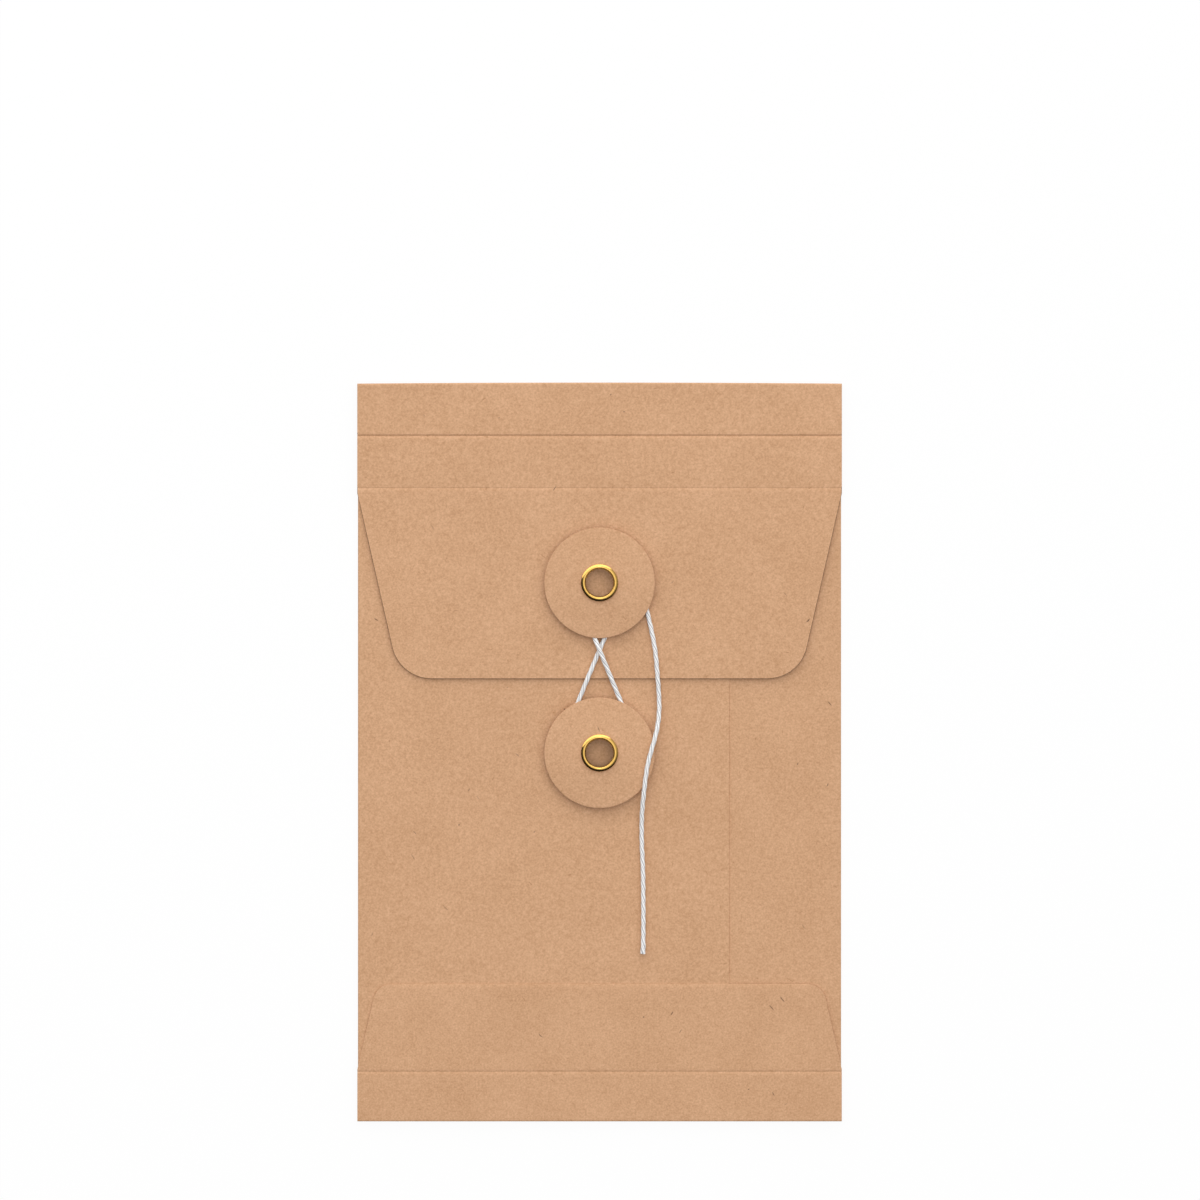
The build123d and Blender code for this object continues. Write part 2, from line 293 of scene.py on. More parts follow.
flapPaper = paperMaterial("flapPaper", (0.31, 0.12, 0.0))
frontPaper = paperMaterial("frontPaper", (0.0, 0.57, 0.2))
bottomPaper = paperMaterial("bottomPaper", (0.74, 0.22, 0.4))
backPaper = paperMaterial("backPaper", (0.11, 0.91, 0.6))
# Painted shade: paper in a near-black brown for the cut edges, standing in for the shadow line under a flap's edge
shadowEdgePaper = paperMaterial("shadowEdgePaper", (0.31, 0.12, 0.0), stockSet["edgeShadowTone"])
discCard = paperMaterial("discCard", (0.43, 0.67, 0.8))

brassSet = {"cloud": (900.0, 4.0, 0.6), "polish": (2600.0, 3.0, 0.6), "polishScale": (1, 1, 8),
            "roughness": (0.25, 0.8, 0.12, 0.17), "bump": (0.05, 0.01 * mm)}


def brassMaterial(name, dark, light, settings):
    material, tree, shader = startMaterial(name)
    place = objectPlace(tree)
    cloud = noiseNode(tree, place, *settings["cloud"])
    polish = noiseNode(tree, mappingNode(tree, place, scale=settings["polishScale"]), *settings["polish"])
    setInputs(tree, shader, Base_Color=mixColor(tree, cloud, dark, light), Metallic=1.0,
              Roughness=rangeNode(tree, polish, *settings["roughness"]),
              Normal=bumpNode(tree, polish, *settings["bump"]))
    return material


cottonSet = {
    "fibre": (1.0, 3.0, 0.6), "fibreScale": (500.0, 9.0, 1.0), "fibreRange": (0.25, 0.75),
    "whites": ((0.95, 0.95, 0.94, 1), (1.0, 1.0, 0.99, 1)),
    "soil": (700.0, 3.0, 0.6), "soilRange": (0.5, 0.8, 0.0, 0.12), "soilColor": (0.76, 0.75, 0.71, 1),
    # The groove entries are painted shade, darkening the colour where the plies meet
    "grooveShadeRange": (0.38, 0.295, 0.0, 0.95), "grooveShadeColor": (0.44, 0.45, 0.47, 1), "bump": (0.2, 0.04 * mm),
    "roughness": 0.9, "shine": 0.2, "sheen": 0.15,
}


def cottonMaterial(settings):
    material, tree, shader = startMaterial("cottonString")
    attribute = addNode(tree, "Attribute")
    attribute.attribute_name = "yarnPlace"
    yarnPlace = attribute.outputs["Vector"]
    around = addNode(tree, "SeparateXYZ", Vector=yarnPlace).outputs["Y"]
    streak = noiseNode(tree, mappingNode(tree, yarnPlace, scale=settings["fibreScale"]), *settings["fibre"])
    soil = noiseNode(tree, objectPlace(tree), *settings["soil"])
    whites = mixColor(tree, rangeNode(tree, streak, *settings["fibreRange"]), *settings["whites"])
    aged = mixColor(tree, rangeNode(tree, soil, *settings["soilRange"]), whites, settings["soilColor"])
    # Painted shade: the colour is darkened in the grooves between the plies, where less light reaches
    outer = mathNode(tree, "ABSOLUTE", mathNode(tree, "SUBTRACT", around))
    shadeInGrooves = rangeNode(tree, outer, *settings["grooveShadeRange"])
    setInputs(tree, shader, Base_Color=mixColor(tree, shadeInGrooves, aged, settings["grooveShadeColor"]),
              Roughness=settings["roughness"], Specular_IOR_Level=settings["shine"], Sheen_Weight=settings["sheen"],
              Normal=bumpNode(tree, streak, *settings["bump"]))
    return material


glueSet = {"cloud": (350.0, 3.0, 0.5), "tones": ((0.62, 0.50, 0.30, 1), (0.78, 0.68, 0.46, 1)),
           "roughness": (0.2, 0.8, 0.3, 0.55)}


def glueMaterial(settings):
    material, tree, shader = startMaterial("driedGlue")
    cloud = noiseNode(tree, objectPlace(tree), *settings["cloud"])
    setInputs(tree, shader, Base_Color=mixColor(tree, cloud, *settings["tones"]),
              Roughness=rangeNode(tree, cloud, *settings["roughness"]))
    return material


eyeletBrass = brassMaterial("eyeletBrass", (0.72, 0.425, 0.105, 1), (0.78, 0.48, 0.135, 1), brassSet)
# Painted shade: a darker, greyer brass for the barrel inside, which deepens the shadow in the eyelet's hole
boreShadeBrass = brassMaterial("boreShadeBrass", (0.50, 0.46, 0.39, 1), (0.56, 0.52, 0.44, 1), brassSet)
cottonString = cottonMaterial(cottonSet)
driedGlue = glueMaterial(glueSet)
print("materials ready")


# String: caught round the upper eyelet, crossed to the lower eyelet and back, round the upper one and down.
# Lengths in millimetres
stringSet = {
    "diameter": 1.1, "restGap": 0.05, "crossingGap": 0.10, "plies": 3, "pitch": 8.1, "plyRadius": 0.40,
    "plyOffset": 0.15, "step": 0.22, "sides": 16, "endFlare": 0.7, "flareStart": 0.986,
}


def roundPoints(centreY, angles, radii, count, level):
    points = []
    for step in range(count):
        share = step / (count - 1)
        angle = math.radians(angles[0] + (angles[1] - angles[0]) * share)
        radius = radii[0] + (radii[1] - radii[0]) * share
        points.append((radius * math.cos(angle), centreY + radius * math.sin(angle), level))
    return points


# The route's points in millimetres, y from the middle of the lower disc
def stringRoute(settings):
    radius = settings["diameter"] / 2
    onFlap = flapTop / mm + settings["restGap"] + radius
    onFront = frontTop / mm + settings["restGap"] + radius
    overString = onFlap + settings["diameter"] + settings["crossingGap"]
    overDisc = high["lower_disc"].z / mm + settings["restGap"] + radius
    spacing = (upperDiscY - lowerDiscY) / mm
    route = roundPoints(spacing, (328, 98), (4.35, 4.35), 9, onFlap)
    route += roundPoints(spacing, (68, -4), (4.35, 5.95), 4, onFlap)
    route += [(3.50, 32.5, onFlap), (0.80, 26.1, onFlap), (-1.70, 20.2, onFlap), (-3.15, 16.7, onFlap + 0.12),
              (-4.85, 12.5, onFront)]
    route += roundPoints(0, (172, 368), (9.5, 9.5), 8, onFront)
    route += [(6.50, 8.5, onFront), (4.72, 12.7, onFront + 0.10), (3.05, 16.8, onFlap + 0.15),
              (1.72, 20.0, onFlap + 0.55), (0.46, 23.1, overString), (-0.42, 25.2, overString),
              (-1.16, 27.0, onFlap + 0.16), (-2.50, 30.3, onFlap)]
    route += roundPoints(spacing, (187, -14), (6.15, 10.9), 8, onFlap)
    route += [(11.20, 33.2, onFlap), (12.30, 28.6, onFlap), (13.22, 23.6, onFlap), (13.60, 18.6, onFlap + 0.08),
              (14.00, 13.8, onFront + 0.36), (14.08, 9.4, onFront + 0.55), (13.60, 5.8, overDisc - 0.95),
              (12.78, 2.6, overDisc - 0.58), (11.45, -1.8, overDisc - 0.52), (10.78, -6.0, overDisc - 0.56),
              (10.38, -9.8, overDisc - 0.70), (10.00, -13.6, onFront + 0.70), (9.90, -17.9, onFront + 0.06),
              (9.98, -22.6, onFront), (10.26, -28.0, onFront), (10.29, -34.2, onFront), (10.34, -41.0, onFront),
              (10.24, -47.35, onFront + 0.10)]
    return [Vector((x * mm, lowerDiscY + y * mm, z * mm)) for x, y, z in route]


def evaluatedMesh(holder):
    bpy.context.view_layer.update()
    mesh = bpy.data.meshes.new_from_object(holder.evaluated_get(bpy.context.evaluated_depsgraph_get()))
    bpy.data.objects.remove(holder)
    return mesh


def routeMesh(points):
    curve = bpy.data.curves.new("stringRoute", "CURVE")
    curve.dimensions = "3D"
    curve.resolution_u = 10
    spline = curve.splines.new("NURBS")
    spline.points.add(len(points) - 1)
    for point, place in zip(spline.points, points):
        point.co = (*place, 1.0)
    spline.order_u = 3
    spline.use_endpoint_u = True
    return evaluatedMesh(showObject("stringRoute", curve))


# Plies twisted round the route, as Geometry Nodes
def plyTree(material, settings):
    tree = bpy.data.node_groups.new("twistedPlies", "GeometryNodeTree")
    numbers = ((name, "Float") for name in ("Pitch", "Ply Radius", "Ply Offset", "Step", "End Flare"))
    shape = ("Geometry", "Geometry")
    addSockets(tree, (shape, ("Plies", "Int"), ("Sides", "Int"), *numbers), (shape,))
    given = tree.nodes.new("NodeGroupInput").outputs
    target = tree.nodes.new("NodeGroupOutput")

    def geoNode(kind, **inputs):
        return setInputs(tree, tree.nodes.new(f"GeometryNode{kind}"), **inputs)

    def vectorNode(operation, *vectors, **scale):
        node = addNode(tree, "VectorMath")
        node.operation = operation
        feed(tree, node.inputs, vectors)
        return setInputs(tree, node, **scale).outputs[0]

    def captureNode(kind, name, geometry, value):
        node = geoNode("CaptureAttribute")
        node.capture_items.new(kind, name)
        setInputs(tree, node, Geometry=geometry, **{name: value})
        return node.outputs["Geometry"], node.outputs[name]

    toCurve = geoNode("MeshToCurve", Mesh=given["Geometry"])
    resample = geoNode("ResampleCurve")
    resample.mode = "LENGTH"
    setInputs(tree, resample, Curve=toCurve.outputs[0], Length=given["Step"])
    copies = geoNode("DuplicateElements")
    copies.domain = "SPLINE"
    setInputs(tree, copies, Geometry=resample.outputs[0], Amount=given["Plies"])

    # Each ply winds round the middle line; the sign of the turn gives the string's lay
    parameter = geoNode("SplineParameter")
    turns = mathNode(tree, "DIVIDE", parameter.outputs["Length"], given["Pitch"])
    phase = mathNode(tree, "DIVIDE", copies.outputs["Duplicate Index"], given["Plies"])
    angle = mathNode(tree, "MULTIPLY", mathNode(tree, "SUBTRACT", phase, turns), math.tau)
    normal = geoNode("InputNormal").outputs["Normal"]
    tangent = geoNode("InputTangent").outputs[0]
    across = vectorNode("CROSS_PRODUCT", tangent, normal)
    outward = vectorNode("ADD", vectorNode("SCALE", normal, Scale=mathNode(tree, "COSINE", angle)),
                         vectorNode("SCALE", across, Scale=mathNode(tree, "SINE", angle)))
    # The cut end is a little looser
    looser = rangeNode(tree, parameter.outputs["Factor"], settings["flareStart"], 1.0)
    flare = mathNode(tree, "ADD", mathNode(tree, "MULTIPLY", looser, given["End Flare"]), 1.0)
    offset = vectorNode("SCALE", outward, Scale=mathNode(tree, "MULTIPLY", given["Ply Offset"], flare))

    # Each ply's section starts at its outer side, so that the painted groove shade can find the grooves
    kept, keptOutward = captureNode("VECTOR", "Outward", copies.outputs["Geometry"], outward)
    moved = geoNode("SetPosition", Geometry=kept, Offset=offset)
    facing = geoNode("SetCurveNormal")
    facing.mode = "FREE"
    setInputs(tree, facing, Curve=moved.outputs[0], Normal=keptOutward)

    # Where each point lies along and round its ply, for the yarn's fibres
    ply, along = captureNode("FLOAT", "Along", facing.outputs[0], parameter.outputs["Length"])
    circle = geoNode("CurvePrimitiveCircle", Resolution=given["Sides"], Radius=given["Ply Radius"])
    roundPart = geoNode("SplineParameter").outputs["Factor"]
    section, around = captureNode("FLOAT", "Around", circle.outputs[0], roundPart)
    tube = geoNode("CurveToMesh", Curve=ply, Profile_Curve=section, Fill_Caps=True)
    place = addNode(tree, "CombineXYZ", X=along, Y=around)
    store = geoNode("StoreNamedAttribute")
    store.data_type = "FLOAT_VECTOR"
    store.domain = "POINT"
    setInputs(tree, store, Geometry=tube.outputs[0], Name="yarnPlace", Value=place.outputs[0])
    shaded = geoNode("SetShadeSmooth", Geometry=store.outputs[0])
    real = geoNode("RealizeInstances", Geometry=shaded.outputs[0])
    paint = geoNode("SetMaterial", Geometry=real.outputs[0], Material=material)
    setInputs(tree, target, Geometry=paint.outputs[0])
    return tree


def makeString(settings):
    line = routeMesh(stringRoute(settings))
    linePoints = [vertex.co.copy() for vertex in line.vertices]
    holder = showObject("tieStringLine", line)
    modifier = holder.modifiers.new("plies", "NODES")
    modifier.node_group = plyTree(cottonString, settings)
    values = {"Plies": settings["plies"], "Sides": settings["sides"], "End Flare": settings["endFlare"],
              "Pitch": settings["pitch"] * mm, "Step": settings["step"] * mm,
              "Ply Radius": settings["plyRadius"] * mm, "Ply Offset": settings["plyOffset"] * mm}
    for socket in modifier.node_group.interface.items_tree:
        if socket.in_out == "INPUT" and socket.name in values:
            modifier[socket.identifier] = values[socket.name]
    mesh = evaluatedMesh(holder)
    mesh.name = "tieString"
    length = sum((b - a).length for a, b in zip(linePoints, linePoints[1:]))
    print(f"string {length / mm:.1f} mm long, {len(mesh.polygons)} faces")
    return showObject("tieString", mesh), linePoints, length


tieString, stringLine, stringLength = makeString(stringSet)
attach(tieString, "closing_flap")
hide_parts("string_winding", "string_tail")
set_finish(tieString, "cotton_string")


# Paper sheets: a flat outline with holes, filled with a grid, given its thickness and laid in place
sheetSet = {
    "denseStep": 0.05 * mm, "edgeRound": 0.09 * mm, "onLine": 0.01 * mm,
    "clear": {"joined": 0.03 * mm, "cut": 0.25 * mm, "hole": 0.4 * mm, "corner": 0.2 * mm},  # grid's room at an edge
    "cornerStep": 0.12, "sharpAngle": math.radians(20), "foldSharpAngle": math.radians(42),
}
gridStep = 3.0 * mm  # spacing of the sheets' points
creaseReach = 0.6 * mm  # how far each stretch of paper goes past the crease that it bends at
denseReach = 1.2 * mm  # the stretch beside a score that has close rows


def insideLoop(points, loop):
    inside = np.zeros(len(points), bool)
    for (ax, ay), (bx, by) in zip(loop, np.roll(loop, -1, axis=0)):
        if ay == by:
            continue
        crosses = (points[:, 1] < ay) != (points[:, 1] < by)
        inside ^= crosses & (points[:, 0] < (bx - ax) * (points[:, 1] - ay) / (by - ay) + ax)
    return inside


def nearLoop(points, loop, square, distance):
    near = np.zeros(len(points), bool)
    for a, b, hidden in zip(loop, np.roll(loop, -1, axis=0), square & np.roll(square, -1)):
        if hidden:
            continue
        run = b - a
        share = np.clip(((points - a) @ run) / (run @ run), 0, 1)
        near |= np.linalg.norm(points - a - share[:, None] * run, axis=1) < distance
    return near


def spread(start, end, step):
    count = max(1, round(abs(end - start) / step))
    return [start + (end - start) * index / count for index in range(count + 1)]


# A loop's straight sides get points too, so that its edge can follow the sheet's waves
def dividedLoop(corners, step):
    loop = []
    for a, b in zip(corners, corners[1:] + corners[:1]):
        count = max(1, round(math.dist(a, b) / step))
        loop += [(a[0] + (b[0] - a[0]) * i / count, a[1] + (b[1] - a[1]) * i / count) for i in range(count)]
    return loop


def arcPoints(centre, radius, start, end, count):
    return [(centre[0] + radius * math.cos(t), centre[1] + radius * math.sin(t))
            for t in spread(start, end, abs(end - start) / count)]


def circleLoop(centreY, radius, count=72):
    return arcPoints((0, centreY), radius, 0, math.tau, count)[:-1]


# A loop drawn in by a depth, apart from the points that stay where the next stretch of paper joins
def insetLoop(loop, square, depth):
    runs = [loop - np.roll(loop, 1, axis=0), np.roll(loop, -1, axis=0) - loop]
    normals = [np.stack([-run[:, 1], run[:, 0]], axis=1) / np.linalg.norm(run, axis=1)[:, None] for run in runs]
    share = np.maximum(1 + np.sum(normals[0] * normals[1], axis=1), 0.5)  # a sharp corner isn't drawn in too far
    return loop + (normals[0] + normals[1]) * (np.where(square, 0, depth) / share)[:, None]


def finishSheet(piece, sharpAngle):
    piece.data.shade_smooth()
    piece.data.set_sharp_from_angle(angle=sharpAngle)
    return piece


def sheetPiece(name, outline, across, up, place, material, holes=(), joined=(), shadowEdgeMaterial=None):
    clear = sheetSet["clear"]
    loops = [np.array(outline)] + [np.array(hole)[::-1] for hole in holes]
    squares = [np.array([any(abs(y - line) < sheetSet["onLine"] for line in joined) for _, y in loop])
               for loop in loops]
    insets = [insetLoop(loop, square, sheetSet["edgeRound"]) for loop, square in zip(loops, squares)]
    grid = np.array([(x, y) for y in up for x in across])
    keep = insideLoop(grid, loops[0]) & ~nearLoop(grid, loops[0], np.zeros(len(loops[0]), bool), clear["joined"])
    keep &= ~nearLoop(grid, loops[0], squares[0], clear["cut"])
    for loop, square in zip(loops[1:], squares[1:]):
        keep &= ~insideLoop(grid, loop) & ~nearLoop(grid, loop, square, clear["hole"])
    points = np.vstack(insets + [grid[keep]])
    edges, start = [], 0
    for loop in loops:
        edges += [(start + i, start + (i + 1) % len(loop)) for i in range(len(loop))]
        start += len(loop)
    unit = [Vector(p / mm) for p in points]  # millimetres keep the triangulation's tolerance small
    flat, _, faces, sources, *_ = delaunay_2d_cdt(unit, edges, [], 1, 1e-6)
    found = {given: i for i, givens in enumerate(sources) for given in givens}
    flat = np.array([(v.x * mm, v.y * mm) for v in flat])
    count = len(flat)
    middles = flat[np.array(faces)].mean(axis=1)
    filled = np.ones(len(faces), bool)
    for loop in insets[1:]:
        filled &= ~insideLoop(middles, loop)
    upper = []
    for face, isPaper in zip(faces, filled):
        if not isPaper:
            continue
        a, b, c = (flat[i] for i in face)
        turned = (b[0] - a[0]) * (c[1] - a[1]) > (b[1] - a[1]) * (c[0] - a[0])
        upper.append(list(face) if turned else list(face)[::-1])
    allFaces = upper + [[i + count for i in reversed(face)] for face in upper]

    # Cut edges are rounded; an edge that meets the next stretch of paper stays square
    inner, outer = np.vstack(insets), np.vstack(loops)
    layers = [place(flat[:, 0], flat[:, 1], np.full(count, h)) for h in (paper / 2, -paper / 2)]
    rings = [[found[i] for i in range(start)]]
    for turn in (math.pi / 4, 0, -math.pi / 4):
        ring = inner + (outer - inner) * math.cos(turn)
        rings.append([sum(map(len, layers)) + i for i in range(start)])
        layers.append(place(ring[:, 0], ring[:, 1], np.full(start, paper / 2 * math.sin(turn))))
    rings.append([found[i] + count for i in range(start)])
    for a, b in zip(rings, rings[1:]):
        allFaces += [[a[i], b[i], b[j], a[j]] for i, j in edges]
    mesh = newMesh(name, np.vstack(layers).tolist(), allFaces, material)
    # Painted shade: the rounded cut edges and walls get the edge material, a dark line that deepens the edge's shadow
    if shadowEdgeMaterial:
        mesh.materials.append(shadowEdgeMaterial)
        for polygon in mesh.polygons[2 * len(upper):]:
            polygon.material_index = 1
    return finishSheet(showObject(name, mesh), sheetSet["sharpAngle"])


# A rectangle whose sides carry the grid's own points
def gridLoop(across, up):
    return ([(x, up[0]) for x in across] + [(across[-1], y) for y in up[1:]]
            + [(x, up[-1]) for x in reversed(across[:-1])] + [(across[0], y) for y in reversed(up[1:-1])])


# A strip that the next stretch of paper joins at both its long edges
def stripPiece(name, across, up, place, material):
    return sheetPiece(name, gridLoop(across, up), across, up, place, material, joined=(up[0], up[-1]))


# Slow waves of a sheet that has been handled
def paperWave(x, y, settings, shift=0):
    seed, size = settings["waveSeed"] + shift, settings["waveSize"]
    return np.array([noise.noise(Vector((a / size, b / size, seed))) for a, b in zip(x, y)]) * settings["wave"]


# A pressed score: a valley along x, steeper on its upper side
def score(y, line, depth, upper, lower):
    return -depth * np.exp(-np.abs((y - line) / np.where(y > line, upper, lower)) ** 1.5)


topSet = {"bow": 0.24 * mm, "spare": 0.1 * mm}


# The top edge bows outwards a little between its corners
def topBow(x, y):
    rise = np.clip((y - firstCrease) / (topBend - firstCrease), 0, 1)
    return topSet["bow"] * rise * (1 - (x / halfWidth) ** 2)


def rows(lowY, highY, *dense):
    found = set(spread(lowY, highY, gridStep))
    for line, reach in dense:
        found |= {y for y in spread(line - reach, line + reach, sheetSet["denseStep"]) if lowY < y < highY}
    return sorted(found)


# Strips of the closing flap, from the top fold down. A score is its depth and its reach above and below
flapSet = {
    "first": (0.24 * mm, 0.12 * mm, 0.46 * mm), "firstShift": -0.16 * mm,
    "second": (0.12 * mm, 0.36 * mm, 0.36 * mm), "secondShift": 0.32 * mm,
    "waveSeed": 4.2, "wave": 0.03 * mm, "waveSize": 24 * mm,
    "cornerRadius": 9.5 * mm, "taper": math.radians(12.8), "shoulder": 0.9 * mm, "holeRadius": 3.45 * mm,
    "lift": 0.20 * mm, "liftReach": 5 * mm, "sideRise": 15 * mm, "held": 15 * mm, "heldFade": 12 * mm,
    "edgeShare": 0.15,
}


def flapPlace(x, y, h):
    z = flapLevel + paper / 2 + h
    z = z + score(y, firstCrease + flapSet["firstShift"], *flapSet["first"])
    z = z + score(y, secondCrease + flapSet["secondShift"], *flapSet["second"])
    z = z + paperWave(x, y, flapSet)
    return np.stack([x, y + topBow(x, y), z], axis=1)


stripHalf = halfWidth + topSet["spare"]
columns = spread(-stripHalf, stripHalf, gridStep)
flapUpper = stripPiece("flapUpperStrip", columns, rows(firstCrease + creaseReach, topBend), flapPlace, flapPaper)
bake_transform(flapUpper)
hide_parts("flap_upper_strip")

lowerRows = rows(secondCrease + creaseReach, firstCrease + creaseReach, (firstCrease, denseReach))
flapLower = stripPiece("flapLowerStrip", columns, lowerRows, flapPlace, flapPaper)
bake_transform(flapLower)
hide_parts("flap_lower_strip")


# A flap that tapers to rounded corners; direction is -1 for a free edge towards -Y
def flapLoop(sideRows, shoulderY, edgeY, settings):
    taper, radius = settings["taper"], settings["cornerRadius"]
    direction = 1 if edgeY > shoulderY else -1
    edgeHalf = stripHalf - abs(edgeY - shoulderY) * math.tan(taper)
    side = Vector((stripHalf - edgeHalf, shoulderY - edgeY)).normalized()
    turn = math.pi / 2 - taper  # the corner turns from the side to the free edge
    reach = radius * math.tan(turn / 2)
    first = Vector((edgeHalf, edgeY)) + side * reach
    centre = Vector((edgeHalf - reach, edgeY - direction * radius))
    start = math.atan2(first.y - centre.y, first.x - centre.x)
    arc = [centre + Vector((math.cos(a), math.sin(a))) * radius
           for a in spread(start, direction * math.pi / 2, sheetSet["cornerStep"])]
    fromJoin = sorted(sideRows, key=lambda y: y * direction)
    straight = [y for y in fromJoin if (y - shoulderY) * direction < 0]
    slanted = [y for y in fromJoin
               if (y - shoulderY) * direction > 0 and (first.y - y) * direction > sheetSet["clear"]["corner"]]
    right = [Vector((stripHalf, y)) for y in straight] + [Vector((stripHalf, shoulderY))]
    right += [Vector((stripHalf - abs(y - shoulderY) * math.tan(taper), y)) for y in slanted] + arc
    left = [Vector((-p.x, p.y)) for p in reversed(right)]
    loop = [tuple(p) for p in right + left]
    return dividedLoop(loop if direction > 0 else loop[::-1], gridStep)


def smooth(value):
    share = np.clip(value, 0, 1)
    return share * share * (3 - 2 * share)


# How far inside the tapered side a point lies; past is its distance beyond the shoulder
def sideRoom(x, past, taper):
    return stripHalf - np.clip(past, 0, None) * math.tan(taper) - np.abs(x)


# The free edges stand up a little, less at the middle where the string holds the flap down
def closingPlace(x, y, h):
    placed = flapPlace(x, y, h)
    reach = flapSet["liftReach"]
    side = sideRoom(x, secondCrease - flapSet["shoulder"] - y, flapSet["taper"])
    bySide = np.exp(-side / reach) * smooth((secondCrease - y) / flapSet["sideRise"])
    byEdge = np.exp(-(y - closingLow) / reach) * smooth((np.abs(x) - flapSet["held"]) / flapSet["heldFade"])
    placed[:, 2] += flapSet["lift"] * np.maximum(bySide, byEdge * flapSet["edgeShare"])
    return placed


closingLow, closingHigh = low["closing_flap"].y, secondCrease + creaseReach
closingRows = rows(closingLow, closingHigh, (secondCrease, denseReach))
closingLoop = flapLoop(closingRows, secondCrease - flapSet["shoulder"], closingLow, flapSet)
# The closing flap's cut edges carry painted shade, which deepens the shadow line under its free edge
closingFlap = sheetPiece("closingFlap", closingLoop, columns, closingRows, closingPlace, flapPaper,
                         holes=[circleLoop(upperDiscY, flapSet["holeRadius"])], joined=(closingHigh,),
                         shadowEdgeMaterial=shadowEdgePaper)
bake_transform(closingFlap)
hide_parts("closing_flap")
print("closing flap ready")


# Front panels, whose outer sides fold down towards the gussets
frontSet = {"lipTurn": math.radians(135), "lipStep": 0.1 * mm, "leafLevel": low["left_front_gusset"].z,
            "waveSeed": 7.5, "wave": 0.012 * mm, "waveSize": 30 * mm}


def frontPlace(level, side):
    outer = (level + paper - frontSet["leafLevel"]) / 2  # outside radius of the folded side
    middle = outer - paper / 2
    flatEnd = halfWidth - outer

    def placeFront(x, y, h):
        along = np.clip(x * side - flatEnd, 0, None) / middle
        radius = middle + h
        z = level + paper / 2 - middle + np.where(along > 0, radius * np.cos(along), middle + h)
        xs = np.where(along > 0, side * (flatEnd + radius * np.sin(along)), x)
        wave = paperWave(x, y, frontSet, side)
        return np.stack([xs, y, z + np.where(along > 0, 0, wave)], axis=1)

    return placeFront, flatEnd, flatEnd + middle * frontSet["lipTurn"]


def frontPanel(name, node, side, inner, holes=()):
    place, flatEnd, sheetEnd = frontPlace(low[node].z, side)
    lip = spread(side * flatEnd, side * sheetEnd, frontSet["lipStep"])
    across = sorted(set(spread(inner, side * flatEnd, gridStep)) | set(lip))
    up = rows(low[node].y, high[node].y)
    piece = sheetPiece(name, gridLoop(across, up), across, up, place, frontPaper, holes)
    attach(piece, "front")
    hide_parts(node)


frontPanel("leftFrontPanel", "left_front_panel", -1, high["left_front_panel"].x,
           [circleLoop(lowerDiscY, flapSet["holeRadius"])])
frontPanel("rightFrontPanel", "right_front_panel", 1, low["right_front_panel"].x)


# Bottom flap, thinner towards its free edge, and the strip below its crease
bottomSet = {
    "score": (0.13 * mm, 0.24 * mm, 0.38 * mm), "taper": math.radians(12.8), "shoulder": 0.6 * mm,
    "cornerRadius": 4.6 * mm, "waveSeed": 2.4, "wave": 0.012 * mm, "waveSize": 24 * mm,
    "lift": 0.13 * mm, "liftReach": 3 * mm, "liftRise": 3 * mm, "thinning": 0.11 * mm, "thinReach": 0.35 * mm,
}
bottomLevel, bottomTop = low["bottom_flap"].z, high["bottom_flap"].z
bottomLow, bottomHigh = bottomCrease - creaseReach, high["bottom_flap"].y


def bottomPlace(x, y, h):
    z = bottomLevel + paper / 2 + h + score(y, bottomCrease, *bottomSet["score"])
    side = sideRoom(x, y - bottomCrease - bottomSet["shoulder"], bottomSet["taper"])
    rise = smooth((y - bottomCrease) / bottomSet["liftRise"])
    lift = bottomSet["lift"] * np.exp(-side / bottomSet["liftReach"]) * rise
    upperPart = 0.5 + h / paper
    thinned = bottomSet["thinning"] * np.exp((y - bottomHigh) / bottomSet["thinReach"]) * upperPart
    return np.stack([x, y, z + lift - thinned + paperWave(x, y, bottomSet)], axis=1)


bottomRows = rows(bottomLow, bottomHigh, (bottomCrease, denseReach), (bottomHigh, denseReach))
bottomLoop = flapLoop(bottomRows, bottomCrease + bottomSet["shoulder"], bottomHigh, bottomSet)
bottomFlap = sheetPiece("bottomFlap", bottomLoop, columns, bottomRows, bottomPlace, bottomPaper, joined=(bottomLow,))
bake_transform(bottomFlap)
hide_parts("bottom_flap")

stripRows = rows(bottomBend, bottomLow, (bottomCrease, denseReach))
frontBottom = stripPiece("frontBottomStrip", columns, stripRows, bottomPlace, bottomPaper)
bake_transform(frontBottom)
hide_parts("front_bottom_strip")


# Back panel and the rear strip of the bottom
backSet = {"score": (0.03 * mm, 0.3 * mm, 0.3 * mm)}
backHalf = halfWidth - paper - (low["left_rear_gusset"].z - paper) / 2


def backPlace(x, y, h):
    z = paper / 2 + h - score(y, bottomCrease, *backSet["score"])
    return np.stack([x, y + topBow(x, y), z], axis=1)


backRows = rows(bottomLow, topBend, (bottomCrease, creaseReach))
backPanel = stripPiece("backPanel", spread(-backHalf, backHalf, gridStep), backRows, backPlace, backPaper)
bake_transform(backPanel)
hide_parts("back_panel")
rearBottom = stripPiece("rearBottomStrip", columns, rows(bottomBend, bottomLow), backPlace, backPaper)
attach(rearBottom, "rear_bottom")
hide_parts("rear_bottom_strip")


